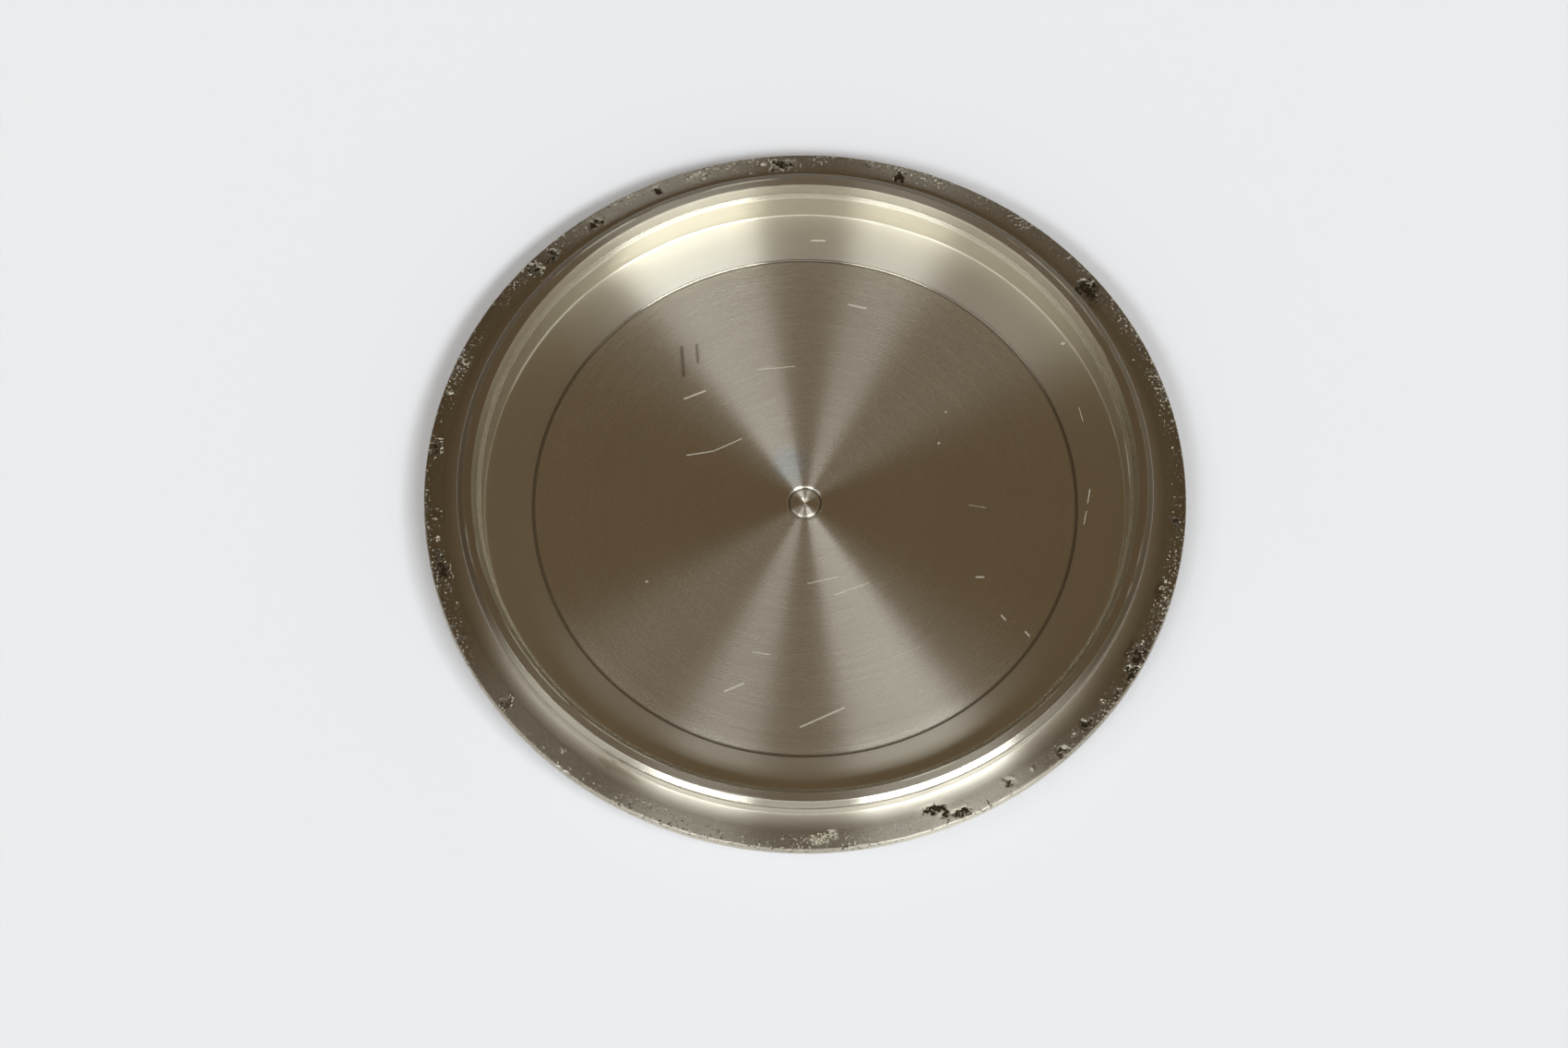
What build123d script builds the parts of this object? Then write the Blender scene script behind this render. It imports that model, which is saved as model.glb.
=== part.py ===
from build123d import *
import math
import os

# Press-fit case back of a wristwatch: one disc of stainless steel, turned on a lathe.
# It lies with its inside up. The origin is the centre of the flat outside face that
# it rests on, +Z is the axis of the disc, and all lengths are in millimetres.
# Names ending in _R are radii from that axis, names ending in _Z are heights.

# Outside face and flange
REST_FACE_R = 11.60        # flat face that the disc rests on
BACK_CROWN = 0.16          # bulge of the outside between the flat face and the rim
FLANGE_R = 15.50
FLANGE_Z = 1.82            # seat that closes against the watch case
RIM_LAND = 0.45            # height of the straight outer edge
RIM_CHAMFER = 0.06
SEAT_BAND_R = 15.05        # outside this radius the seat falls away slightly
SEAT_FALL = 0.05

# Snap collar, outside
COLLAR_FOOT_R = 14.70      # where the collar's shallow cove meets the seat
COVE_RISE = 0.10           # height of that cove where it reaches the groove
NECK_R = 14.04             # bottom of the groove under the snap bead
NECK_Z = 2.33              # top of that groove
BEAD_R = 14.12             # snap bead, a short cylinder
BEAD_LOW_Z = 2.42
BEAD_HIGH_Z = 2.70
COLLAR_EDGE_R = 13.86      # outer end of the collar's top
COLLAR_TOP_Z = 2.83

# Snap collar, inside
MOUTH_R = 13.51
BEVEL_HIGH_R = 13.32       # the mouth narrows steeply down to here
BEVEL_HIGH_Z = 2.45
BEVEL_LOW_R = 13.16        # and then at about 43 degrees to the top of the wall
BEVEL_LOW_Z = 2.30
WALL_FOOT_R = 13.10        # the wall itself leans in by about 3 degrees
WALL_FOOT_FILLET = 0.10

# Floor
RING_OUTER_Z = 0.97        # outer end of the ring, which slopes by about 10 degrees
STEP_R = 11.14             # shallow step between the ring and the flat floor
STEP_WIDTH = 0.08
STEP_DEPTH = 0.02
FLOOR_Z = 0.62
PIP_GROOVE_R = 0.66        # fine groove round the centre mark
PIP_GROOVE_WIDTH = 0.12
PIP_GROOVE_DEPTH = 0.04
PIP_R = 0.24               # dimple left by the lathe centre
PIP_DEPTH = 0.05


def at(radius, height):
    """Point of the profile, which is drawn in the XZ plane."""
    return Vector(radius, 0, height)


def joined(*points):
    return [Line(first, last) for first, last in zip(points, points[1:])]


def back_edges():
    """Resting face, crowned outside, straight rim and seat, out to the collar's foot."""
    seat_edge_z = FLANGE_Z - SEAT_FALL
    rim_low_z = seat_edge_z - RIM_LAND
    crown_start = at(REST_FACE_R, 0)
    crown_end = at(FLANGE_R - RIM_CHAMFER, rim_low_z - RIM_CHAMFER)
    chord = crown_end - crown_start
    outward = Vector(chord.Z, 0, -chord.X).normalized()
    crown_middle = crown_start + chord / 2 + outward * BACK_CROWN
    rim = joined(
        crown_end,
        at(FLANGE_R, rim_low_z),
        at(FLANGE_R, seat_edge_z - RIM_CHAMFER),
        at(FLANGE_R - RIM_CHAMFER, seat_edge_z),
        at(SEAT_BAND_R, FLANGE_Z),
        at(COLLAR_FOOT_R, FLANGE_Z),
    )
    return [Line(at(0, 0), crown_start), ThreePointArc(crown_start, crown_middle, crown_end), *rim]


def collar_edges():
    """Shallow cove, groove, snap bead, lead-in chamfer, top, mouth bevels and inner wall."""
    cove_top = at(NECK_R, FLANGE_Z + COVE_RISE)
    cove = TangentArc(at(COLLAR_FOOT_R, FLANGE_Z), cove_top, tangent=(-1, 0, 0))
    bead = joined(
        cove_top,
        at(NECK_R, NECK_Z),
        at(BEAD_R, BEAD_LOW_Z),
        at(BEAD_R, BEAD_HIGH_Z),
    )
    top = joined(
        at(BEAD_R, BEAD_HIGH_Z),
        at(COLLAR_EDGE_R, COLLAR_TOP_Z),
        at(MOUTH_R, COLLAR_TOP_Z),
        at(BEVEL_HIGH_R, BEVEL_HIGH_Z),
        at(BEVEL_LOW_R, BEVEL_LOW_Z),
        at(WALL_FOOT_R, RING_OUTER_Z + WALL_FOOT_FILLET),
    )
    return [cove, *bead, *top]


def floor_edges():
    """Foot of the inner wall, sloping ring, shallow step, flat floor and centre mark."""
    foot_turn = WALL_FOOT_FILLET * (1 - math.cos(math.pi / 4))
    foot = ThreePointArc(
        at(WALL_FOOT_R, RING_OUTER_Z + WALL_FOOT_FILLET),
        at(WALL_FOOT_R - foot_turn, RING_OUTER_Z + foot_turn),
        at(WALL_FOOT_R - WALL_FOOT_FILLET, RING_OUTER_Z),
    )
    half_groove = PIP_GROOVE_WIDTH / 2
    surface = joined(
        at(WALL_FOOT_R - WALL_FOOT_FILLET, RING_OUTER_Z),
        at(STEP_R, FLOOR_Z + STEP_DEPTH),
        at(STEP_R - STEP_WIDTH, FLOOR_Z),
        at(PIP_GROOVE_R + half_groove, FLOOR_Z),
        at(PIP_GROOVE_R, FLOOR_Z - PIP_GROOVE_DEPTH),
        at(PIP_GROOVE_R - half_groove, FLOOR_Z),
        at(PIP_R, FLOOR_Z),
        at(0, FLOOR_Z - PIP_DEPTH),
        at(0, 0),
    )
    return [foot, *surface]


def case_back():
    outline = Wire([*back_edges(), *collar_edges(), *floor_edges()])
    return revolve(Face(outline), Axis.Z, 360)


os.makedirs("parts", exist_ok=True)
export_step(case_back(), "parts/case_back.step")
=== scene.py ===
import math

import bpy
import numpy as np
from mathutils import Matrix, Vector, noise


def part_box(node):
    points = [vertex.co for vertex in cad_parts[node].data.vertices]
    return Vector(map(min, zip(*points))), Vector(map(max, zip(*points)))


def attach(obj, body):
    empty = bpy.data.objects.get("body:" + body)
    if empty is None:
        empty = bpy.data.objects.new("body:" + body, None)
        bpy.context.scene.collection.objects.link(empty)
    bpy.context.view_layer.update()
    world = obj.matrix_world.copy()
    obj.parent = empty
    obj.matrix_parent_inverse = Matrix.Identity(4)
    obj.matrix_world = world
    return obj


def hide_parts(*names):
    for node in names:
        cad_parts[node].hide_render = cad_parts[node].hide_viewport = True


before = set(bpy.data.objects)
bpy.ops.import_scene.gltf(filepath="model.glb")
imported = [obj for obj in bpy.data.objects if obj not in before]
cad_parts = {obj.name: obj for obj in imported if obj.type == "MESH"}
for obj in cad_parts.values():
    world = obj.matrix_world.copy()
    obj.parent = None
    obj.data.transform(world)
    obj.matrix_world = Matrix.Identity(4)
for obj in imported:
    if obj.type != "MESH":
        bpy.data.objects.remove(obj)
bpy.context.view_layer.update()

# A press-fit watch case back, turned from one disc of stainless steel, lying inside up.
# Lengths are in millimetres until a mesh is made, radii are measured from the disc's
# axis and angles anticlockwise from +X, seen from above.
MM = 0.001
PER_METRE = 1000.0
NODE = "case_back"
low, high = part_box(NODE)
FLANGE_R = (high.x - low.x) / 2 / MM
COLLAR_TOP_Z = high.z / MM

# Heights and radii of the turned profile. They are the same as in the CAD part, apart from
# the finer rim chamfer. The wall's ridges are only here.
REST_FACE_R = 11.60
BACK_CROWN = 0.16
RIM_LAND = 0.45
RIM_CHAMFER = 0.035
SEAT_Z = 1.82
SEAT_FALL = 0.05
COLLAR_FOOT_R = 14.70
COVE_RISE = 0.10
NECK_R = 14.04
NECK_Z = 2.33
BEAD_R = 14.12
BEAD_LOW_Z = 2.42
BEAD_HIGH_Z = 2.70
COLLAR_EDGE_R = 13.86
MOUTH_R = 13.51
BEVEL_HIGH = (13.32, 2.45)
BEVEL_LOW = (13.16, 2.30)
WALL_FOOT_R = 13.10
RING_OUTER_Z = 0.97
STEP_R = 11.14
STEP_DEPTH = 0.02
FLOOR_Z = 0.62
PIP_GROOVE_R = 0.66
PIP_R = 0.24
PIP_DEPTH = 0.05
WALL_RIDGE_HEIGHTS = (1.42, 1.88, 2.08)


# ---------------------------------------------------------------- turned profile

class Profile:
    """Rings of the turned surface, from the axis out over the top and back below."""

    def __init__(self):
        self.rings = []      # (radius, height, segments, roughness, tone)

    def add(self, radius, height, segments, rough, tone):
        self.rings.append((radius, height, segments, rough, tone))

    def line(self, end, spacing, segments, rough, tone):
        """Rings along a straight stretch from the last ring to end."""
        r0, z0 = self.rings[-1][:2]
        steps = max(1, round(math.hypot(end[0] - r0, end[1] - z0) / spacing))
        for k in range(1, steps + 1):
            t = k / steps
            self.add(r0 + (end[0] - r0) * t, z0 + (end[1] - z0) * t, segments, rough, tone)

    def corner(self, point, after, radius, segments, rough, tone, steps=4, spacing=0.3):
        """A straight stretch towards a corner, then the corner rounded to a radius."""
        start = np.array(self.rings[-1][:2])
        point, after = np.array(point), np.array(after)
        back = (start - point) / np.linalg.norm(start - point)
        on = (after - point) / np.linalg.norm(after - point)
        half = math.acos(float(np.clip(back @ on, -1, 1))) / 2
        reach = radius / math.tan(half)
        centre = point + (back + on) / np.linalg.norm(back + on) * radius / math.sin(half)
        self.line(tuple(point + back * reach), spacing, segments, rough, tone)
        first = point + back * reach - centre
        last = point + on * reach - centre
        sweep = math.pi - 2 * half
        for k in range(1, steps + 1):
            t = k / steps
            spot = (first * math.sin((1 - t) * sweep) + last * math.sin(t * sweep)) / math.sin(sweep)
            self.add(*(centre + spot), segments, rough, tone)


# Segments round a ring.
COARSE, MEDIUM, FINE, FINEST = 96, 192, 384, 1536

# Roughness and tone of each turned surface. A tone of 1 is clean steel, less is browner.
PIP_LOOK = (0.34, 1.0)
GROOVE_LOOK = (0.36, 0.40)
FLOOR_LOOK = (0.27, 1.0)
STEP_FOOT_LOOK = (0.24, 0.50)
STEP_TOP_LOOK = (0.22, 0.25)
RING_LOOK = (0.31, 1.0)
WALL_LOOK = (0.32, 0.95)
LOW_BEVEL_LOOK = (0.25, 0.72)
MOUTH_BEVEL_LOOK = (0.29, 0.80)
COLLAR_TOP_LOOK = (0.26, 0.80)
CHAMFER_LOOK = (0.25, 0.46)
BEAD_LOOK = (0.42, 0.9)
BEAD_UNDERSIDE_LOOK = (0.40, 0.8)
NECK_LOOK = (0.40, 0.9)
COVE_ROUGH, COVE_TONE = 0.28, 0.95
FLANGE_TONE = 0.60
FLANGE_LOOK = (0.26, FLANGE_TONE)
RIM_CHAMFER_LOOK = (0.30, 1.0)
RIM_LOOK = (0.38, 0.8)
BACK_CHAMFER_LOOK = (0.27, 1.0)
BACK_CROWN_LOOK = (0.32, 1.0)
REST_FACE_LOOK = (0.42, 1.0)


def floor_rings(p):
    groove_z = FLOOR_Z - 0.04
    p.add(0.0, FLOOR_Z - PIP_DEPTH, COARSE, *PIP_LOOK)
    p.corner((PIP_R, FLOOR_Z + 0.01), (0.5, FLOOR_Z), 0.06, COARSE, *PIP_LOOK, spacing=0.06)
    p.line((PIP_GROOVE_R - 0.07, FLOOR_Z), 0.07, COARSE, *PIP_LOOK)
    p.line((PIP_GROOVE_R - 0.015, groove_z), 0.03, COARSE, *GROOVE_LOOK)
    p.line((PIP_GROOVE_R + 0.02, groove_z), 0.03, COARSE, *GROOVE_LOOK)
    p.line((PIP_GROOVE_R + 0.07, FLOOR_Z), 0.03, COARSE, *FLOOR_LOOK)
    p.line((1.1, FLOOR_Z), 0.1, COARSE, *FLOOR_LOOK)
    p.line((4.0, FLOOR_Z), 0.3, MEDIUM, *FLOOR_LOOK)
    p.line((STEP_R - 0.12, FLOOR_Z), 0.7, FINE, *FLOOR_LOOK)
    p.line((STEP_R - 0.05, FLOOR_Z - 0.008), 0.02, FINE, *STEP_FOOT_LOOK)
    p.line((STEP_R, FLOOR_Z + STEP_DEPTH), 0.02, FINE, *STEP_TOP_LOOK)


def ring_and_wall(p):
    ring_z = FLOOR_Z + STEP_DEPTH
    ring_slope = (RING_OUTER_Z - FLOOR_Z - STEP_DEPTH) / (WALL_FOOT_R - STEP_R)
    p.line((STEP_R + 0.1, ring_z + 0.1 * ring_slope), 0.05, FINE, *RING_LOOK)
    foot = (WALL_FOOT_R, RING_OUTER_Z)
    p.corner(foot, BEVEL_LOW, 0.10, FINE, *RING_LOOK, steps=6, spacing=0.12)
    for height in WALL_RIDGE_HEIGHTS:
        radius = WALL_FOOT_R + 0.06 * (height - RING_OUTER_Z) / (BEVEL_LOW[1] - RING_OUTER_Z)
        p.line((radius, height - 0.03), 0.12, FINE, *WALL_LOOK)
        p.line((radius + 0.004, height), 0.02, FINE, *WALL_LOOK)
        p.line((radius + 0.002, height + 0.03), 0.02, FINE, *WALL_LOOK)
    mouth, edge = (MOUTH_R, COLLAR_TOP_Z), (COLLAR_EDGE_R, COLLAR_TOP_Z)
    p.corner(BEVEL_LOW, BEVEL_HIGH, 0.03, FINE, *WALL_LOOK, spacing=0.1)
    p.corner(BEVEL_HIGH, mouth, 0.04, FINE, *LOW_BEVEL_LOOK, spacing=0.06)
    p.corner(mouth, edge, 0.02, FINE, *MOUTH_BEVEL_LOOK, spacing=0.06)


def cove_point(radius, lean):
    """Point of the cove at the collar's foot where the surface leans by an angle."""
    return (COLLAR_FOOT_R - radius * math.sin(lean), SEAT_Z + radius * (1 - math.cos(lean)))


def collar_outside(p):
    edge = (COLLAR_EDGE_R, COLLAR_TOP_Z)
    chamfer_high = (BEAD_R, BEAD_HIGH_Z)
    bead_low, neck_top = (BEAD_R, BEAD_LOW_Z), (NECK_R, NECK_Z)
    cove_top = (NECK_R, SEAT_Z + COVE_RISE)
    p.corner(edge, chamfer_high, 0.03, FINE, *COLLAR_TOP_LOOK, spacing=0.05)
    p.corner(chamfer_high, bead_low, 0.08, FINE, *CHAMFER_LOOK, spacing=0.05)
    p.corner(bead_low, neck_top, 0.03, FINE, *BEAD_LOOK, spacing=0.08)
    p.corner(neck_top, cove_top, 0.05, FINE, *BEAD_UNDERSIDE_LOOK, spacing=0.04)
    reach = COLLAR_FOOT_R - NECK_R
    cove_radius = (reach ** 2 + COVE_RISE ** 2) / (2 * COVE_RISE)
    steepest = math.asin(reach / cove_radius)
    steps = 10
    first = cove_point(cove_radius, steepest * (1 - 1 / steps))
    p.corner(cove_top, first, 0.05, FINE, *NECK_LOOK, spacing=0.08)
    for k in range(1, steps + 1):
        tone = COVE_TONE + (FLANGE_TONE - COVE_TONE) * k / steps
        p.add(*cove_point(cove_radius, steepest * (1 - k / steps)), FINE, COVE_ROUGH, tone)


def flange_and_rim(p):
    fall = SEAT_Z - SEAT_FALL
    chamfer_in, chamfer_out = (FLANGE_R - RIM_CHAMFER, fall), (FLANGE_R, fall - RIM_CHAMFER)
    side = (FLANGE_R, fall - 0.3)
    p.line((COLLAR_FOOT_R + 0.03, SEAT_Z - 0.001), 0.03, FINEST, *FLANGE_LOOK)
    p.corner(chamfer_in, chamfer_out, 0.03, FINEST, *FLANGE_LOOK, steps=2, spacing=0.062)
    p.corner(chamfer_out, side, 0.03, FINEST, *RIM_CHAMFER_LOOK, steps=2, spacing=0.05)
    p.line((FLANGE_R, fall - RIM_LAND), 0.11, FINEST, *RIM_LOOK)


def underside(p):
    rim_low = SEAT_Z - SEAT_FALL - RIM_LAND
    start = np.array((FLANGE_R - RIM_CHAMFER, rim_low - RIM_CHAMFER))
    end = np.array((REST_FACE_R, 0.0))
    chord = end - start
    outward = np.array((-chord[1], chord[0])) / np.linalg.norm(chord)
    p.line(tuple(start), 0.1, FINE, *BACK_CHAMFER_LOOK)
    steps = 9
    for k in range(1, steps + 1):
        t = k / steps
        spot = start + chord * t - outward * BACK_CROWN * 4 * t * (1 - t)
        p.add(*spot, FINE, *BACK_CROWN_LOOK)
    p.line((REST_FACE_R - 0.1, 0.0), 0.05, FINE, *BACK_CHAMFER_LOOK)
    p.line((4.0, 0.0), 0.5, MEDIUM, *REST_FACE_LOOK)
    p.line((0.4, 0.0), 0.4, COARSE, *REST_FACE_LOOK)
    p.add(0.0, 0.0, COARSE, *REST_FACE_LOOK)


profile = Profile()
for section in (floor_rings, ring_and_wall, collar_outside, flange_and_rim, underside):
    section(profile)


# ---------------------------------------------------------------- marks of wear

# Corrosion pits on the flange: angle in degrees, radius, width round the flange and
# across it, depth, dark share and pale crumbs round them (0 to 1).
PITS = [
    (37.8, 14.88, 0.46, 0.34, 0.20, 1.0, 0.5),
    (74.6, 15.00, 0.22, 0.26, 0.10, 0.9, 0.5),
    (79.6, 15.20, 0.12, 0.10, 0.06, 0.9, 0.1),
    (93.6, 15.02, 0.34, 0.22, 0.10, 0.9, 0.7),
    (107.0, 15.12, 0.26, 0.12, 0.05, 0.4, 0.9),
    (114.0, 15.02, 0.12, 0.26, 0.08, 0.9, 0.3),
    (125.6, 15.02, 0.30, 0.16, 0.05, 0.8, 0.2),
    (134.6, 15.02, 0.30, 0.20, 0.07, 0.8, 0.3),
    (137.9, 15.06, 0.22, 0.30, 0.10, 0.8, 1.0),
    (172.6, 15.18, 0.26, 0.16, 0.08, 0.8, 1.0),
    (184.0, 14.98, 0.18, 0.18, 0.05, 0.3, 0.8),
    (191.4, 15.08, 0.24, 0.16, 0.06, 0.7, 0.6),
    (193.4, 15.02, 0.28, 0.26, 0.08, 0.9, 0.9),
    (217.8, 15.06, 0.14, 0.26, 0.07, 0.6, 0.8),
    (290.4, 14.76, 0.36, 0.20, 0.10, 1.0, 0.3),
    (291.4, 15.02, 0.26, 0.16, 0.08, 0.8, 0.2),
    (293.9, 15.24, 0.34, 0.14, 0.09, 0.9, 0.3),
    (302.6, 15.06, 0.14, 0.18, 0.05, 0.6, 0.4),
    (312.2, 15.28, 0.20, 0.18, 0.08, 0.8, 0.4),
    (317.7, 15.12, 0.18, 0.18, 0.08, 0.9, 0.3),
    (324.2, 15.28, 0.20, 0.12, 0.06, 0.7, 0.3),
    (328.8, 15.26, 0.36, 0.18, 0.11, 1.0, 0.4),
    (331.6, 15.20, 0.40, 0.28, 0.09, 0.8, 0.7),
    (354.8, 15.12, 0.22, 0.18, 0.07, 0.7, 0.5),
]

# Pale crumbs of dried deposit: angle, radius, size.
DEPOSITS = [
    (3.0, 14.80, 0.07), (7.4, 15.14, 0.14), (23.6, 14.76, 0.08), (31.0, 15.20, 0.12),
    (44.2, 15.26, 0.12), (52.6, 15.16, 0.11), (96.6, 15.12, 0.16), (98.8, 14.74, 0.12),
    (149.6, 15.12, 0.08), (150.3, 14.42, 0.10), (157.6, 15.08, 0.19), (163.2, 15.16, 0.19),
    (168.2, 15.24, 0.10), (175.3, 15.26, 0.13), (186.4, 14.60, 0.15), (188.1, 15.04, 0.22),
    (199.6, 14.86, 0.14), (205.0, 15.12, 0.12), (229.6, 14.86, 0.18), (238.6, 14.52, 0.20),
    (237.4, 14.10, 0.12), (266.6, 15.08, 0.10), (272.2, 15.10, 0.38), (273.6, 14.92, 0.38),
    (270.9, 15.02, 0.20), (306.6, 15.06, 0.10), (315.4, 15.04, 0.16), (322.2, 15.00, 0.19),
    (324.6, 14.58, 0.13), (334.1, 15.06, 0.14), (337.3, 15.08, 0.15), (341.6, 14.66, 0.12),
    (342.0, 15.22, 0.18), (343.3, 15.04, 0.24), (344.6, 15.12, 0.16), (350.0, 15.22, 0.20),
    (357.6, 15.26, 0.14),
]

# Brown or olive stains: angle, radius, width round the flange and across it.
STAINS = [
    (36.5, 14.75, 0.8, 0.35), (94.0, 14.95, 0.9, 0.35), (125.0, 14.98, 1.7, 0.30),
    (132.0, 14.95, 1.8, 0.30), (193.0, 14.95, 1.1, 0.35), (290.8, 14.80, 0.8, 0.30),
    (331.2, 14.75, 0.9, 0.30), (342.5, 14.95, 1.0, 0.35), (238.0, 14.25, 2.2, 0.35),
]

# Scratches on the floor and ring, in mm from the axis: start, end, width, and whether
# they catch the light, shown as a painted pale glint, or look dark.
SCRATCHES = [
    ((-5.11, 7.11), (-5.01, 5.77), 0.085, False), ((-4.48, 7.18), (-4.42, 6.40), 0.075, False),
    ((-4.96, 4.71), (-4.11, 5.07), 0.050, True), ((-4.84, 2.14), (-3.75, 2.33), 0.035, True),
    ((-3.75, 2.33), (-2.60, 2.89), 0.030, True), ((11.66, 0.55), (11.56, -0.05), 0.030, True),
    ((11.50, -0.42), (11.38, -1.00), 0.025, True), ((11.30, 4.25), (11.45, 3.60), 0.018, True),
    ((6.95, -3.31), (7.25, -3.31), 0.045, True), ((7.95, -5.00), (8.10, -5.20), 0.045, True),
    ((8.90, -5.72), (9.05, -5.90), 0.045, True), ((-0.19, -9.85), (1.55, -9.02), 0.040, True),
    ((-3.23, -8.30), (-2.49, -7.97), 0.040, True), ((10.68, 7.10), (10.74, 7.12), 0.080, True),
    ((-6.45, -3.50), (-6.41, -3.52), 0.055, True), ((5.49, 2.68), (5.53, 2.70), 0.050, True),
    ((5.80, 4.11), (5.84, 4.10), 0.045, True), ((6.70, -0.10), (7.40, -0.22), 0.014, True),
    ((1.85, 9.05), (2.55, 8.88), 0.040, True), ((-2.10, -6.60), (-1.45, -6.72), 0.025, True),
    ((0.30, 11.98), (0.85, 11.96), 0.045, True), ((-1.90, 6.05), (-0.40, 6.20), 0.022, True),
    ((1.20, -4.10), (2.60, -3.55), 0.022, True), ((0.10, -3.60), (1.30, -3.30), 0.022, True),
]

# Edges where the steel is worn pale here and there: radius and height.
WORN_EDGES = [
    (MOUTH_R, COLLAR_TOP_Z), (COLLAR_EDGE_R, COLLAR_TOP_Z), (BEAD_R, BEAD_HIGH_Z), BEVEL_LOW,
    (WALL_FOOT_R - 0.03, RING_OUTER_Z + 0.03), (FLANGE_R, SEAT_Z - SEAT_FALL),
]

# Nicks in the rim: angle, width, depth.
NICKS = [
    (231.0, 0.30, 0.05), (232.4, 0.34, 0.06), (245.4, 0.12, 0.05), (246.4, 0.08, 0.04),
    (254.8, 0.14, 0.06), (302.0, 0.10, 0.03), (66.0, 0.10, 0.03), (119.0, 0.12, 0.03),
]


def ripple(x, y, z, scale, seed):
    """Smooth noise of about -1 to 1, one value for each point."""
    shift = Vector((seed * 7.3, seed * 3.1, seed * 11.7))
    return np.array([noise.noise(Vector(p) * scale + shift) for p in zip(x, y, z)])


def local_offsets(angle, radius, x, y):
    """Distances from a spot on the flange: round the axis, and away from it."""
    a = math.radians(angle)
    out = x * math.cos(a) + y * math.sin(a)
    along = y * math.cos(a) - x * math.sin(a)
    return along, out - radius


def smooth(value):
    value = np.clip(value, 0, 1)
    return value * value * (3 - 2 * value)


def wear(co):
    """Height change and the pit, crumb and stain masks for points of the flange."""
    x, y, z = co.T
    flange = (np.hypot(x, y) > NECK_R) & (z > SEAT_Z - 0.2)
    xs, ys, zs = x[flange], y[flange], z[flange]
    rough_edge = ripple(xs, ys, zs, 6.0, 1) + 0.5 * ripple(xs, ys, zs, 14.0, 2)
    grain = ripple(xs, ys, zs, 22.0, 3)
    change = np.zeros(len(xs))
    pit = np.zeros(len(xs))
    crumb = np.zeros(len(xs))
    stain = np.zeros(len(xs))
    for angle, radius, wide, across, depth, dark, pale in PITS:
        along, out = local_offsets(angle, radius, xs, ys)
        near = np.hypot(along / (wide * 1.25), out / (across * 1.15)) + 0.8 * rough_edge
        hole = smooth((1.15 - near) / 0.5)
        change -= 0.3 * depth * hole * (1 + 0.8 * grain)
        pit = np.maximum(pit, dark * hole)
        halo = smooth(1 - np.abs(near - 1.25) / 0.4) * smooth(0.5 + 1.6 * grain)
        crumb = np.maximum(crumb, pale * halo)
        change += 0.03 * pale * halo
        stain = np.maximum(stain, 0.5 * smooth((2.2 - near) / 1.4))
    for angle, radius, size in DEPOSITS:
        along, out = local_offsets(angle, radius, xs, ys)
        near = np.hypot(along, out) / (size * 0.7) + 0.6 * rough_edge
        lump = smooth((1.3 - near) / 0.7)
        change += 0.012 * lump
        crumb = np.maximum(crumb, 0.68 * lump * smooth(0.7 + grain))
    for angle, radius, wide, across in STAINS:
        along, out = local_offsets(angle, radius, xs, ys)
        near = np.hypot(along / (wide / 2), out / (across / 2)) + 0.5 * rough_edge
        stain = np.maximum(stain, smooth((1.4 - near) / 0.9))
    return flange, change, pit, crumb, stain


# ---------------------------------------------------------------- mesh

UV_MARGIN = 0.01


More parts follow.
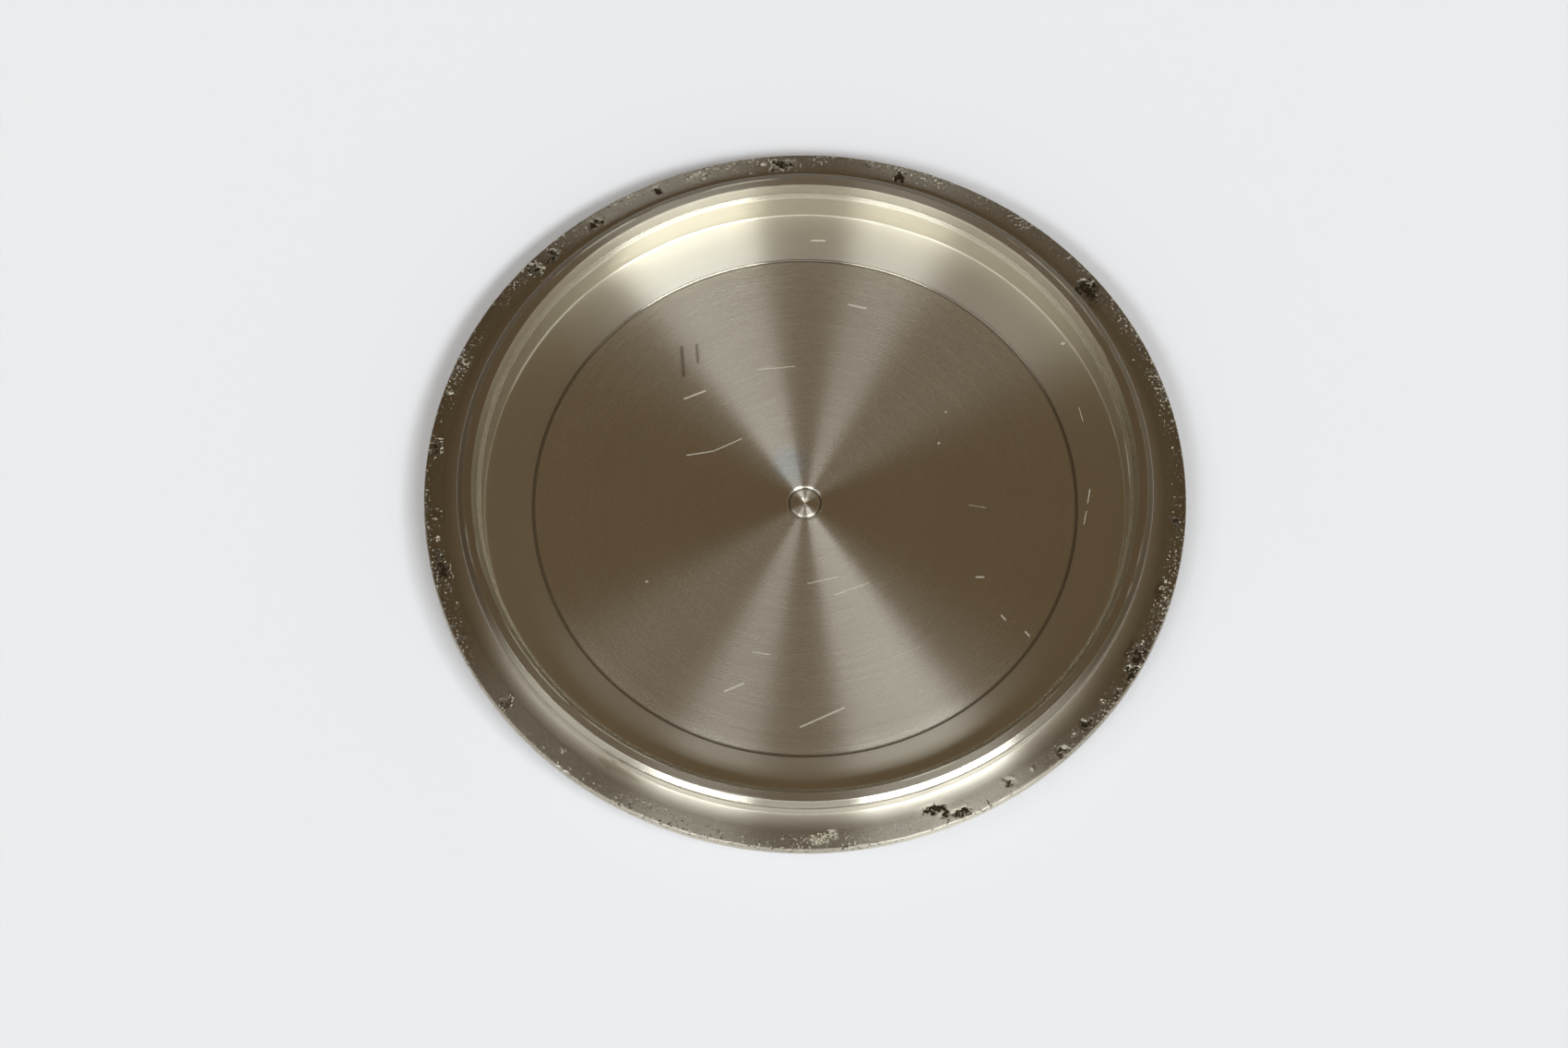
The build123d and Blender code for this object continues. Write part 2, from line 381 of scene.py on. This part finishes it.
def build_disc():
    """One closed mesh through all the rings, with the wear and the masks for its material."""
    rings = profile.rings
    reach = [0.0]
    for before, ring in zip(rings, rings[1:]):
        reach.append(reach[-1] + math.hypot(ring[0] - before[0], ring[1] - before[1]))
    rows, verts = [], []
    for radius, height, segments, _, _ in rings:
        if radius == 0:
            rows.append([len(verts)])
            verts.append((0.0, 0.0, height))
            continue
        start = len(verts)
        for k in range(segments):
            a = 2 * math.pi * k / segments
            verts.append((radius * math.cos(a), radius * math.sin(a), height))
        rows.append(list(range(start, start + segments)))
    faces, uvs = [], []

    def corner(row, k, count):
        return (k / count, UV_MARGIN + (1 - 2 * UV_MARGIN) * reach[row] / reach[-1])

    def add_face(*corners):
        """A face from (row, step round the row, steps in the row) for each of its corners."""
        faces.append(tuple(rows[row][k % len(rows[row])] for row, k, _ in corners))
        uvs.extend(corner(*spot) for spot in corners)

    def add_tip(row, k, count, next_count):
        """A triangle between the axis, where a row is one vertex, and the row beside it."""
        if count == 1:
            middle = ((k + 0.5) / next_count, corner(row, 0, 1)[1])
            faces.append((rows[row][0], rows[row + 1][k], rows[row + 1][(k + 1) % next_count]))
            uvs.extend([middle, corner(row + 1, k, next_count), corner(row + 1, k + 1, next_count)])
        else:
            middle = ((k + 0.5) / count, corner(row + 1, 0, 1)[1])
            faces.append((rows[row][k], rows[row + 1][0], rows[row][(k + 1) % count]))
            uvs.extend([corner(row, k, count), middle, corner(row, k + 1, count)])

    def add_fan(row, k, count, next_count):
        """Triangles between one step of the coarser row and several steps of the finer one."""
        grows = next_count > count
        coarse, fine = (row, row + 1) if grows else (row + 1, row)
        steps, fine_steps = min(count, next_count), max(count, next_count)
        share = fine_steps // steps
        half = share // 2
        for j in range(share):
            pivot = (coarse, k if j < half else k + 1, steps)
            near = (fine, k * share + j, fine_steps)
            far = (fine, k * share + j + 1, fine_steps)
            add_face(*((pivot, near, far) if grows else (near, pivot, far)))
        middle = (fine, k * share + half, fine_steps)
        left, right = (coarse, k, steps), (coarse, k + 1, steps)
        add_face(*((left, middle, right) if grows else (left, right, middle)))

    for row in range(len(rows) - 1):
        count, next_count = len(rows[row]), len(rows[row + 1])
        if 1 in (count, next_count):
            for k in range(max(count, next_count)):
                add_tip(row, k, count, next_count)
            continue
        for k in range(min(count, next_count)):
            if count == next_count:
                add_face((row, k, count), (row + 1, k, count),
                         (row + 1, k + 1, count), (row, k + 1, count))
            else:
                add_fan(row, k, count, next_count)

    co = np.array(verts)
    ring_of = [r for r, row in enumerate(rows) for _ in row]
    flange, change, pit, crumb, stain = wear(co)
    co[flange, 2] += change
    rim = (np.hypot(co[:, 0], co[:, 1]) > FLANGE_R - 0.2) & (co[:, 2] > SEAT_Z - 0.6)
    for angle, wide, depth in NICKS:
        along, out = local_offsets(angle, FLANGE_R, co[:, 0], co[:, 1])
        dent = smooth(1.2 - np.abs(along) / (wide / 2)) * rim * (out > -0.25)
        scale = 1 - dent * depth * smooth((co[:, 2] - SEAT_Z + 0.35) / 0.3) / FLANGE_R
        co[:, 0] *= scale
        co[:, 1] *= scale

    mesh = bpy.data.meshes.new("case_back_turned")
    mesh.from_pydata([tuple(v * MM for v in p) for p in co], [], faces)
    layer = mesh.uv_layers.new(name="OFBake")
    layer.data.foreach_set("uv", np.array(uvs, np.float32).ravel())
    values = {name: np.zeros(len(co), np.float32) for name in ("pit", "crumb", "stain")}
    for name, data in zip(("pit", "crumb", "stain"), (pit, crumb, stain)):
        values[name][flange] = data
    values["rough"] = np.array([rings[r][3] for r in ring_of], np.float32)
    values["tone"] = np.array([rings[r][4] for r in ring_of], np.float32)
    away = np.hypot(co[:, 0], co[:, 1])
    on_top = co[:, 2] > SEAT_Z - 0.35
    values["dust"] = (np.clip((away - 14.85) / 0.55, 0, 1) * on_top).astype(np.float32)
    nearest = np.min([np.hypot(away - r, co[:, 2] - z) for r, z in WORN_EDGES], axis=0)
    values["edge"] = smooth(1.2 - nearest / 0.05).astype(np.float32)
    for name, data in values.items():
        attribute = mesh.attributes.new(name, "FLOAT", "POINT")
        attribute.data.foreach_set("value", data)
    for polygon in mesh.polygons:
        polygon.use_smooth = True
    mesh.validate()
    mesh.update()
    disc = bpy.data.objects.new("turned_case_back", mesh)
    bpy.context.scene.collection.objects.link(disc)
    return disc


disc = build_disc()


# ---------------------------------------------------------------- materials

class Nodes:
    """Short names for building a node tree."""

    def __init__(self, tree):
        self.tree = tree

    def make(self, kind, **settings):
        node = self.tree.nodes.new(kind)
        for key, value in settings.items():
            setattr(node, key, value)
        return node

    def feed(self, socket, value):
        if isinstance(value, bpy.types.NodeSocket):
            self.tree.links.new(value, socket)
        else:
            socket.default_value = value

    def math(self, operation, a, b=0.0, clamp=False):
        node = self.make("ShaderNodeMath", operation=operation, use_clamp=clamp)
        self.feed(node.inputs[0], a)
        self.feed(node.inputs[1], b)
        return node.outputs[0]

    def mix(self, factor, a, b, blend="MIX"):
        node = self.make("ShaderNodeMix", data_type="RGBA", blend_type=blend)
        self.feed(node.inputs["Factor"], factor)
        self.feed(node.inputs[6], a)
        self.feed(node.inputs[7], b)
        return node.outputs[2]

    def spread(self, value, low, high, to_low=0.0, to_high=1.0):
        node = self.make("ShaderNodeMapRange", interpolation_type="SMOOTHSTEP")
        for k, item in enumerate((value, low, high, to_low, to_high)):
            self.feed(node.inputs[k], item)
        return node.outputs[0]

    def noise(self, vector, scale, detail=2.0, roughness=0.5):
        node = self.make("ShaderNodeTexNoise")
        self.feed(node.inputs["Vector"], vector)
        node.inputs["Scale"].default_value = scale
        node.inputs["Detail"].default_value = detail
        node.inputs["Roughness"].default_value = roughness
        return node.outputs["Fac"]

    def attribute(self, name):
        return self.make("ShaderNodeAttribute", attribute_name=name).outputs["Fac"]


def scratch_group():
    """Node group: how near a point is to the straight line of one scratch, 0 to 1."""
    group = bpy.data.node_groups.new("scratch", "ShaderNodeTree")
    for name in ("Point", "Start", "Span"):
        group.interface.new_socket(name, in_out="INPUT", socket_type="NodeSocketVector")
    group.interface.new_socket("Width", in_out="INPUT", socket_type="NodeSocketFloat")
    group.interface.new_socket("Mask", in_out="OUTPUT", socket_type="NodeSocketFloat")
    n = Nodes(group)
    given = n.make("NodeGroupInput").outputs
    result = n.make("NodeGroupOutput")

    def vector(operation, a, b, output=0):
        node = n.make("ShaderNodeVectorMath", operation=operation)
        n.feed(node.inputs[0], a)
        n.feed(node.inputs[3 if operation == "SCALE" else 1], b)
        return node.outputs[output]

    offset = vector("SUBTRACT", given["Point"], given["Start"])
    along = vector("DOT_PRODUCT", offset, given["Span"], 1)
    length = vector("DOT_PRODUCT", given["Span"], given["Span"], 1)
    share = n.math("DIVIDE", along, length, clamp=True)
    foot = vector("SCALE", given["Span"], share)
    gap = vector("DISTANCE", offset, foot, 1)
    n.feed(result.inputs[0], n.spread(n.math("DIVIDE", gap, given["Width"]), 0.35, 1.0, 1.0, 0.0))
    return group


def scratches(n, point, group, bright):
    """How near a point is to any of the scratches with a painted glint, or of the dark ones, 0 to 1.
    """
    mask = None
    for start, end, width, catches_light in SCRATCHES:
        if catches_light != bright:
            continue
        node = n.make("ShaderNodeGroup", node_tree=group)
        n.feed(node.inputs["Point"], point)
        node.inputs["Start"].default_value = (*start, 0)
        node.inputs["Span"].default_value = (end[0] - start[0], end[1] - start[1], 0)
        node.inputs["Width"].default_value = width
        mask = node.outputs[0] if mask is None else n.math("MAXIMUM", mask, node.outputs[0])
    return mask


BUMP_STRENGTH = 0.12
BUMP_DEPTH = 0.000012


def turned_steel():
    """Turned steel with its lines, pits, crumbs, stains, specks and scratches, painted glints on
    some scratches and a painted warm reflection on the ring and wall.
    """
    material = bpy.data.materials.new("turned_steel")
    material.use_nodes = True
    tree = material.node_tree
    tree.nodes.clear()
    n = Nodes(tree)
    shader = n.make("ShaderNodeBsdfPrincipled")
    out = n.make("ShaderNodeOutputMaterial")
    tree.links.new(shader.outputs[0], out.inputs[0])

    place = n.make("ShaderNodeTexCoord").outputs["Object"]
    split = n.make("ShaderNodeSeparateXYZ")
    n.feed(split.inputs[0], place)
    x, y, z = split.outputs
    squares = n.math("ADD", n.math("MULTIPLY", x, x), n.math("MULTIPLY", y, y))
    radius = n.math("MULTIPLY", n.math("SQRT", squares), PER_METRE)
    height = n.math("MULTIPLY", z, PER_METRE)
    # Noise read at (cosine, sine, track) is drawn out round the axis. The track is the radius
    # plus a share of the height, so that the lines go on over the wall.
    safe = n.math("MAXIMUM", radius, 0.001)
    cosine = n.math("MULTIPLY", n.math("DIVIDE", x, safe), PER_METRE)
    sine = n.math("MULTIPLY", n.math("DIVIDE", y, safe), PER_METRE)
    track = n.math("ADD", radius, n.math("MULTIPLY", height, 0.83))

    def polar(around, across):
        node = n.make("ShaderNodeCombineXYZ")
        n.feed(node.inputs[0], n.math("MULTIPLY", cosine, around))
        n.feed(node.inputs[1], n.math("MULTIPLY", sine, around))
        n.feed(node.inputs[2], n.math("MULTIPLY", track, across))
        return node.outputs[0]

    fine_lines = n.noise(polar(0.35, 18.0), 1.0, 3.0, 0.6)
    broad_lines = n.noise(polar(0.05, 1.6), 1.0, 3.0, 0.6)
    streaks = n.noise(polar(2.2, 14.0), 1.0, 3.0, 0.55)
    millimetres = n.make("ShaderNodeVectorMath", operation="SCALE")
    n.feed(millimetres.inputs[0], place)
    millimetres.inputs[3].default_value = PER_METRE
    spots = millimetres.outputs[0]
    shifted = n.make("ShaderNodeVectorMath", operation="ADD")
    n.feed(shifted.inputs[0], spots)
    shifted.inputs[1].default_value = (31.0, -17.0, 8.0)
    turned = shifted.outputs[0]
    mottle = n.noise(spots, 0.35, 3.0, 0.55)
    grit = n.noise(spots, 16.0, 3.0, 0.7)
    crust = n.noise(turned, 7.0, 3.0, 0.7)

    pit, crumb, stain = (n.attribute(k) for k in ("pit", "crumb", "stain"))
    ragged = n.math("MULTIPLY", n.math("SUBTRACT", crust, 0.5), 3.2)
    grainy = n.math("MULTIPLY", n.math("SUBTRACT", grit, 0.5), 1.1)
    pit_mask = n.spread(n.math("ADD", pit, ragged), 0.45, 0.75)
    crumb_and_glint_mask = n.spread(n.math("ADD", crumb, grainy), 0.4, 0.62)
    pit_mask = n.math("MULTIPLY", pit_mask, n.spread(pit, 0.02, 0.12))
    crumb_and_glint_mask = n.math("MULTIPLY", crumb_and_glint_mask, n.spread(crumb, 0.02, 0.15))

    # Pale and dark specks towards the rim, thicker in patches
    dust = n.attribute("dust")
    patches = n.noise(spots, 0.45, 2.0)
    drift = n.math("MULTIPLY", n.math("SUBTRACT", patches, 0.5), 0.5)
    leaning = n.math("ADD", n.math("MULTIPLY", dust, 0.12), drift)
    pale = n.spread(n.math("ADD", n.noise(spots, 9.0, 1.0), leaning), 0.74, 0.79)
    dark = n.spread(n.math("ADD", n.noise(turned, 7.5, 1.0), leaning), 0.74, 0.79)
    on_flange = n.spread(dust, 0.02, 0.10)
    pale = n.math("MULTIPLY", n.math("MULTIPLY", pale, on_flange), 0.7)
    dark = n.math("MULTIPLY", n.math("MULTIPLY", dark, on_flange), 0.8)
    crumb_and_glint_mask = n.math("MAXIMUM", crumb_and_glint_mask, pale)
    pit_mask = n.math("MAXIMUM", pit_mask, dark)

    # A bluish film on the floor near the centre
    offset = n.make("ShaderNodeVectorMath", operation="DISTANCE")
    n.feed(offset.inputs[0], spots)
    offset.inputs[1].default_value = (-0.55, 1.75, FLOOR_Z)
    away = n.math("ADD", offset.outputs[1], n.math("MULTIPLY", mottle, 0.8))
    smear = n.spread(away, 0.7, 1.6, 1.0, 0.0)

    # Scratches, broken up a little and kept off the underside
    group = scratch_group()
    flat = n.make("ShaderNodeCombineXYZ")
    n.feed(flat.inputs[0], n.math("MULTIPLY", x, PER_METRE))
    n.feed(flat.inputs[1], n.math("MULTIPLY", y, PER_METRE))
    scratched = n.math("MULTIPLY", n.spread(height, 0.4, 0.5), n.spread(grit, 0.30, 0.45))
    painted_glint_marks = n.math("MULTIPLY", scratches(n, flat.outputs[0], group, True), scratched)
    dark_marks = n.math("MULTIPLY", scratches(n, flat.outputs[0], group, False), scratched)
    worn_parts = n.spread(n.noise(polar(1.8, 2.0), 1.0, 3.0, 0.7), 0.52, 0.62)
    worn = n.math("MULTIPLY", n.attribute("edge"), worn_parts)
    # Scratches that catch the light are real marks with a painted glint: a pale, dull colour where
    # their sides would reflect the lamps. From here the crumb mask holds real crumbs, specks and
    # worn edges, and these painted glints.
    crumb_and_glint_mask = n.math("MAXIMUM", crumb_and_glint_mask, n.math("MULTIPLY", painted_glint_marks, 0.7))
    crumb_and_glint_mask = n.math("MAXIMUM", crumb_and_glint_mask, n.math("MULTIPLY", worn, 0.45))

    steel = n.mix(mottle, (0.56, 0.52, 0.45, 1), (0.63, 0.59, 0.52, 1))
    steel = n.mix(n.spread(fine_lines, 0.3, 0.75, 0.0, 0.07), steel, (0.36, 0.32, 0.26, 1))
    steel = n.mix(n.spread(broad_lines, 0.35, 0.7, 0.0, 0.14), steel, (0.68, 0.65, 0.58, 1))
    steel = n.mix(n.math("MULTIPLY", stain, 0.6), steel, (0.20, 0.15, 0.075, 1))
    veil = n.math("MULTIPLY", dust, n.spread(grit, 0.3, 0.7, 0.15, 0.6))
    steel = n.mix(veil, steel, (0.40, 0.36, 0.30, 1))
    # The ring and the inner wall are tinted a warmer, yellowish steel: a painted warm reflection of
    # the light they pick up, not a stain.
    inside_mouth = n.spread(radius, 13.5, 13.6, 1.0, 0.0)
    painted_reflection_band = n.math("MULTIPLY", n.spread(radius, 11.2, 12.4), inside_mouth)
    steel = n.mix(n.math("MULTIPLY", painted_reflection_band, 0.5), steel, (0.60, 0.56, 0.45, 1))
    steel = n.mix(n.math("MULTIPLY", smear, 0.45), steel, (0.50, 0.58, 0.68, 1))
    tone = n.attribute("tone")
    steel = n.mix(tone, (0.10, 0.08, 0.055, 1), steel)
    steel = n.mix(n.math("MULTIPLY", dark_marks, 0.75), steel, (0.13, 0.10, 0.07, 1))
    steel = n.mix(pit_mask, steel, (0.020, 0.013, 0.007, 1))
    steel = n.mix(crumb_and_glint_mask, steel, (0.42, 0.38, 0.30, 1))
    n.feed(shader.inputs["Base Color"], steel)

    bare = n.math("SUBTRACT", 1.0, n.math("MAXIMUM", pit_mask, crumb_and_glint_mask))
    n.feed(shader.inputs["Metallic"], bare)
    n.feed(shader.inputs["Specular IOR Level"], n.math("MULTIPLY", bare, 0.4))
    rough = n.math("ADD", n.attribute("rough"), n.spread(streaks, 0.3, 0.7, -0.006, 0.006))
    rough = n.math("ADD", rough, n.math("MULTIPLY", n.math("SUBTRACT", 1.0, bare), 0.4))
    rough = n.math("ADD", rough, n.math("MULTIPLY", n.math("ADD", stain, veil), 0.10), clamp=True)
    n.feed(shader.inputs["Roughness"], rough)
    shader.inputs["Anisotropic"].default_value = 1.0
    shader.inputs["Anisotropic Rotation"].default_value = 0.25
    tangent = n.make("ShaderNodeTangent", direction_type="RADIAL", axis="Z")
    n.feed(shader.inputs["Tangent"], tangent.outputs[0])

    relief = n.math("ADD", n.math("MULTIPLY", fine_lines, 0.12), n.math("MULTIPLY", streaks, 0.02))
    marked = n.math("MAXIMUM", pit_mask, crumb_and_glint_mask)
    relief = n.math("ADD", relief, n.math("MULTIPLY", n.math("MULTIPLY", grit, 0.7), marked))
    bump = n.make("ShaderNodeBump")
    bump.inputs["Strength"].default_value = BUMP_STRENGTH
    bump.inputs["Distance"].default_value = BUMP_DEPTH
    n.feed(bump.inputs["Height"], relief)
    n.feed(shader.inputs["Normal"], bump.outputs[0])
    return material


disc.data.materials.append(turned_steel())
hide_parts(NODE)
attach(disc, "root")


# ---------------------------------------------------------------- table, light and camera

TABLE_COLOUR = (0.692, 0.686, 0.716, 1)
TABLE_HALF = 2.0
TABLE_GAP = 0.00002


def table_material():
    material = bpy.data.materials.new("pale_table")
    material.use_nodes = True
    shader = material.node_tree.nodes["Principled BSDF"]
    shader.inputs["Base Color"].default_value = TABLE_COLOUR
    shader.inputs["Roughness"].default_value = 0.85
    return material


def table():
    mesh = bpy.data.meshes.new("table")
    signs = ((-1, -1), (1, -1), (1, 1), (-1, 1))
    corners = [(TABLE_HALF * across, TABLE_HALF * along, 0) for across, along in signs]
    mesh.from_pydata(corners, [], [(0, 1, 2, 3)])
    mesh.materials.append(table_material())
    top = bpy.data.objects.new("table", mesh)
    top.location.z = -TABLE_GAP
    bpy.context.scene.collection.objects.link(top)


DAYLIGHT = (27.8, 29.7, 30.4, 1)
BRIGHT_EDGE = (56.0, 60.0, 60.0, 1)
OVERHEAD = (0.165, 0.120, 0.070, 1)
PALE_WALL = (0.92, 0.88, 0.76, 1)
HORIZON = (0.26, 0.23, 0.19, 1)
EDGE_SOFTNESS = 1.5

# Pale walls: share, then azimuth from and to, softness, and the elevations they fade out over.
# An azimuth of 0 degrees is in front (-Y) and 90 is on the right (+X).
GLOWS = [
    (0.45, (45, 150, 30, 8, 40)),
    (0.78, (-80, 75, 30, 25, 62)),
]

# Windows: share, colour, then azimuth from and to, softness of both sides, and elevation
# from and to. The two bright ones have fainter light between and beside them.
WINDOWS = [
    (0.10, DAYLIGHT, (-12, 13, 2.0, 2.0, 46, 60)),
    (0.10, DAYLIGHT, (-90, -44, 12.0, 2.0, 44, 57)),
    (0.05, DAYLIGHT, (59, 80, 2.0, 10.0, 44, 57)),
    (1.0, DAYLIGHT, (16, 59, 1.0, 1.5, 48, 57)),
    (0.25, BRIGHT_EDGE, (16, 20, 1.0, 1.0, 48, 57)),
    (0.74, DAYLIGHT, (-44, -15, 4.0, 1.0, 48, 57)),
]


def studio():
    """Warm and dim overhead, pale walls low down, and two bright windows in front."""
    world = bpy.data.worlds.new("studio")
    bpy.context.scene.world = world
    world.use_nodes = True
    tree = world.node_tree
    tree.nodes.clear()
    n = Nodes(tree)
    background = n.make("ShaderNodeBackground")
    out = n.make("ShaderNodeOutputWorld")
    tree.links.new(background.outputs[0], out.inputs[0])
    way = n.make("ShaderNodeTexCoord").outputs["Generated"]
    split = n.make("ShaderNodeSeparateXYZ")
    n.feed(split.inputs[0], way)
    x, y, z = split.outputs
    degrees = 180 / math.pi
    elevation = n.math("MULTIPLY", n.math("ARCSINE", z), degrees)
    azimuth = n.math("ARCTAN2", x, n.math("MULTIPLY", y, -1.0))
    azimuth = n.math("MULTIPLY", azimuth, degrees)

    def window(azimuth_from, azimuth_to, soft_from, soft_to, low_edge, high_edge):
        left = n.spread(azimuth, azimuth_from - soft_from, azimuth_from + soft_from)
        right = n.spread(azimuth, azimuth_to - soft_to, azimuth_to + soft_to, 1.0, 0.0)
        bottom = n.spread(elevation, low_edge - EDGE_SOFTNESS, low_edge + EDGE_SOFTNESS)
        top = n.spread(elevation, high_edge - EDGE_SOFTNESS, high_edge + EDGE_SOFTNESS, 1.0, 0.0)
        return n.math("MULTIPLY", n.math("MULTIPLY", left, right), n.math("MULTIPLY", bottom, top))

    def glow(azimuth_from, azimuth_to, soft, fade_from, fade_to):
        left = n.spread(azimuth, azimuth_from - soft, azimuth_from + soft)
        right = n.spread(azimuth, azimuth_to - soft, azimuth_to + soft, 1.0, 0.0)
        fade = n.spread(elevation, fade_from, fade_to, 1.0, 0.0)
        return n.math("MULTIPLY", n.math("MULTIPLY", left, right), fade)

    light = n.mix(n.spread(elevation, 5, 35), HORIZON, OVERHEAD)
    for share, area in GLOWS:
        light = n.mix(n.math("MULTIPLY", glow(*area), share), light, PALE_WALL)
    for share, colour, area in WINDOWS:
        light = n.mix(n.math("MULTIPLY", window(*area), share), light, colour)
    n.feed(background.inputs[0], light)
    background.inputs[1].default_value = 1.0
    world.cycles.sampling_method = "MANUAL"
    world.cycles.sample_map_resolution = 1024


# The camera's aim is in millimetres, its distance in flange radii.
CAMERA_AIM = (-0.856, -1.484, SEAT_Z)
CAMERA_ELEVATION = 66.0
CAMERA_DISTANCE = 12.5
LENS = 109.72
SENSOR_WIDTH = 36


def camera():
    elevation = math.radians(CAMERA_ELEVATION)
    distance = CAMERA_DISTANCE * FLANGE_R * MM
    aim = Vector([v * MM for v in CAMERA_AIM])
    back = Vector((0, -math.cos(elevation), math.sin(elevation)))
    data = bpy.data.cameras.new("camera")
    data.lens = LENS
    data.sensor_width = SENSOR_WIDTH
    data.dof.use_dof = False
    data.clip_start, data.clip_end = 0.01, 20
    view = bpy.data.objects.new("camera", data)
    view.location = aim + back * distance
    view.rotation_mode = "QUATERNION"
    view.rotation_quaternion = (-back).to_track_quat("-Z", "Y")
    bpy.context.scene.collection.objects.link(view)
    bpy.context.scene.camera = view


table()
studio()
camera()
bpy.context.scene.view_settings.view_transform = "Standard"
